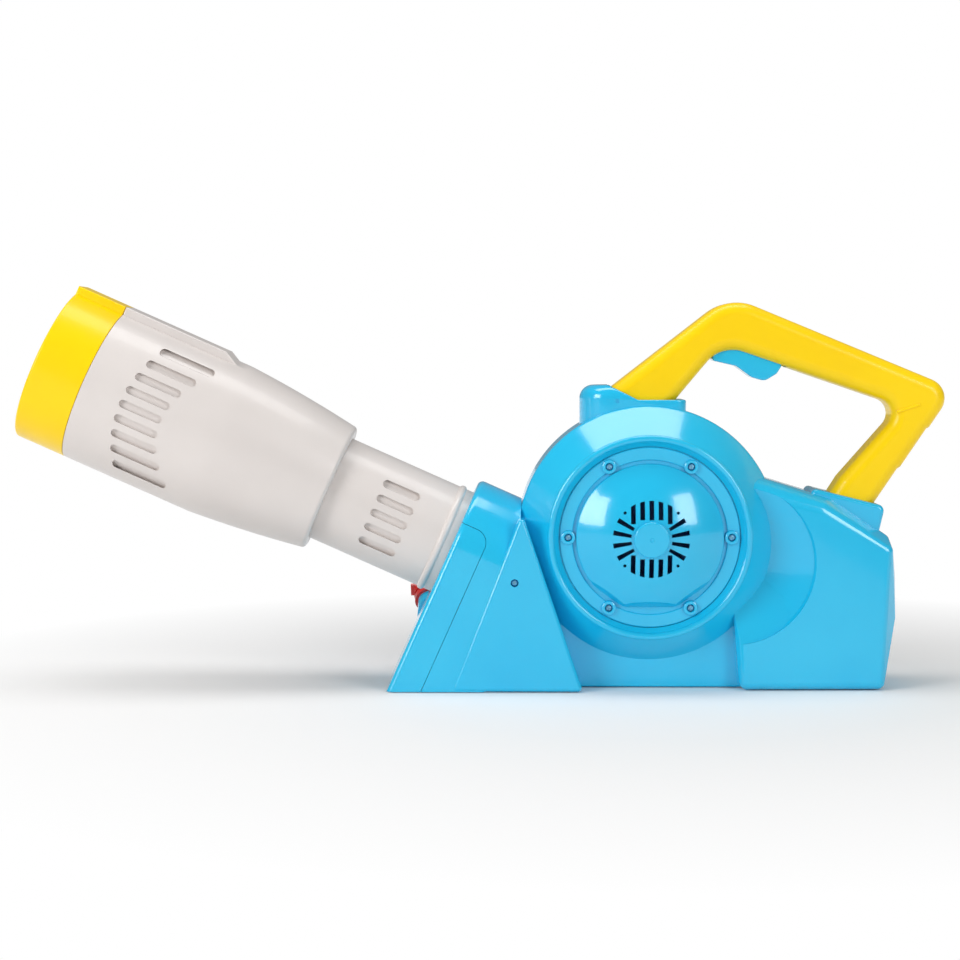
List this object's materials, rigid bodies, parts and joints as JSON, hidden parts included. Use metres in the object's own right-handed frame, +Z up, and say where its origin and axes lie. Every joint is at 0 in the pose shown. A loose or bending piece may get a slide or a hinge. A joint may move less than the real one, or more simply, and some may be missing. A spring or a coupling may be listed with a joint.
{
  "type": "bubble blower",
  "caption": "Hand-held toy blower: a fan in a round drum drives air through a dipped bubble wheel and out of a slotted two-step barrel.",
  "frame": {"origin": "on the flat base under the fan axis, in the middle of the width", "axes": "+X to the rear of the toy, +Y to its right side, +Z up; the muzzle points to -X and up"},
  "size_m": [0.4777, 0.1011, 0.2052],
  "materials": {
    "blue": "smooth moulded",
    "yellow": "smooth moulded",
    "cream": "satin moulded",
    "navy": "satin moulded",
    "red": "smooth moulded",
    "dark": "fine grain",
    "steel": "plated",
    "brass": "machined",
    "seal": "soft",
    "cell": "sleeve"
  },
  "bodies": {
    "frame": {"left_housing": "blue", "right_housing": "blue", "left_fan_cover": "blue", "right_fan_cover": "blue", "fan_cover_screws": "steel", "housing_screws": "steel", "fan_motor": "steel", "motor_mount": "dark", "motor_mount_screws": "steel", "rear_tube": "cream", "front_tube": "cream", "muzzle_ring": "yellow", "handle_left": "yellow", "handle_right": "yellow", "handle_screws": "steel", "trigger_pin": "steel", "trigger_spring": "steel", "trigger_switch": "dark", "dip_tank": "blue", "nozzle_plate": "blue", "nozzle_screw": "steel", "shaft_seal": "seal", "gear_case": "dark", "gear_cover": "dark", "gear_case_screws": "steel", "wheel_motor": "steel", "idler_axle": "steel", "cap_strap": "red", "battery_tray": "dark", "battery_cells": "cell", "battery_contacts": "steel"},
    "trigger": {"trigger": "blue"},
    "plunger": {"switch_plunger": "red"},
    "fan": {"fan_impeller": "navy", "fan_shaft": "steel"},
    "wheel": {"bubble_wheel": "yellow", "wheel_shaft": "steel", "output_gear": "cream"},
    "idler": {"idler_gear": "cream"},
    "pinion": {"motor_pinion": "brass"},
    "cap": {"filler_cap": "red"},
    "door": {"battery_door": "blue", "battery_door_screw": "steel"}
  },
  "joints": [
    {"name": "trigger_pull", "type": "hinge", "parent": "frame", "child": "trigger", "pos_m": [0.038, 0, 0.1786], "axis": [0, -1, 0], "range_deg": [0, 9], "stiffness_Nm_per_rad": 0.3, "springref_deg": -5.73, "deforming": ["trigger_spring"]},
    {"name": "plunger_press", "type": "slide", "parent": "frame", "child": "plunger", "axis": [0, 0, 1], "range_m": [0, 0.0024]},
    {"name": "fan_spin", "type": "hinge", "parent": "frame", "child": "fan", "pos_m": [0, 0, 0.078], "axis": [0, 1, 0], "continuous": true},
    {"name": "wheel_spin", "type": "hinge", "parent": "frame", "child": "wheel", "pos_m": [-0.09283, 0, 0.03669], "axis": [-0.9135, 0, 0.4067], "continuous": true},
    {"name": "idler_spin", "type": "hinge", "parent": "frame", "child": "idler", "pos_m": [-0.08552, 0.0144, 0.03343], "axis": [-0.9135, 0, 0.4067], "continuous": true},
    {"name": "pinion_spin", "type": "hinge", "parent": "frame", "child": "pinion", "pos_m": [-0.09283, 0, 0.03669], "axis": [-0.9135, 0, 0.4067], "continuous": true},
    {"name": "cap_flip", "type": "hinge", "parent": "frame", "child": "cap", "pos_m": [-0.09807, 0.04605, 0.03921], "axis": [0, 0.6428, -0.766], "range_deg": [0, 110]},
    {"name": "door_drop", "type": "slide", "parent": "frame", "child": "door", "axis": [0, 0, -1], "range_m": [0, 0.03]}
  ],
  "couplings": [
    {"joint": "plunger_press", "follows": "trigger_pull", "m_per_rad": 0.014006},
    {"joint": "idler_spin", "follows": "wheel_spin", "ratio": -3},
    {"joint": "pinion_spin", "follows": "wheel_spin", "ratio": 9}
  ]
}
